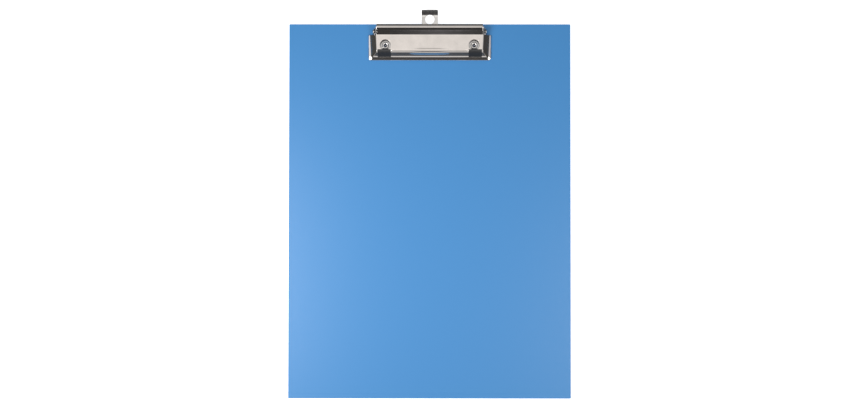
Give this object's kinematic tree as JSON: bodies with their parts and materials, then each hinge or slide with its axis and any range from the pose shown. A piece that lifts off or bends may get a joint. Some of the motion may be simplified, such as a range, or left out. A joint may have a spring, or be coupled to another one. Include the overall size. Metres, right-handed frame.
{
  "type": "clipboard",
  "caption": "Flat paper-wrapped clipboard with a low sprung lever clip riveted to its top edge and a sliding hanging eyelet.",
  "frame": {"origin": "centre of the overall outline on the back face, with the hanging eyelet pulled out", "axes": "+X to the right across the board, +Y towards the clip's end, +Z out of the front face"},
  "size_m": [0.241, 0.332, 0.0119],
  "materials": {
    "greyboard": "raw grey board",
    "wrap_paper": "satin blue wrap with a fine fibre mottle",
    "lining_paper": "matte blue lining",
    "plated_steel": "plain zinc plate",
    "bright_nickel": "bright nickel plate",
    "black_rubber": "matte moulded rubber",
    "pin_steel": "drawn wire, nickel plated",
    "spring_steel": "hard drawn spring wire",
    "rivet_steel": "bright zinc plate",
    "tab_nickel": "satin nickel plate"
  },
  "bodies": {
    "board": {"core_board": "greyboard", "front_cover": "wrap_paper", "back_lining": "lining_paper", "base_plate": "plated_steel", "hinge_pin": "pin_steel", "left_spring": "spring_steel", "right_spring": "spring_steel", "left_rivet": "rivet_steel", "right_rivet": "rivet_steel"},
    "lever": {"clip_lever": "bright_nickel", "left_grip": "black_rubber", "right_grip": "black_rubber"},
    "hanger": {"hanger_tab": "tab_nickel"}
  },
  "joints": [
    {"name": "lever_hinge", "type": "hinge", "parent": "board", "child": "lever", "pos_m": [0, 0.147, 0.007], "axis": [-1, 0, 0], "range_deg": [0, 20], "stiffness_Nm_per_rad": 1, "springref_deg": -20.05, "deforming": ["left_spring", "right_spring"]},
    {"name": "hanger_slide", "type": "slide", "parent": "board", "child": "hanger", "axis": [0, 1, 0], "range_m": [-0.0082, 0]}
  ]
}
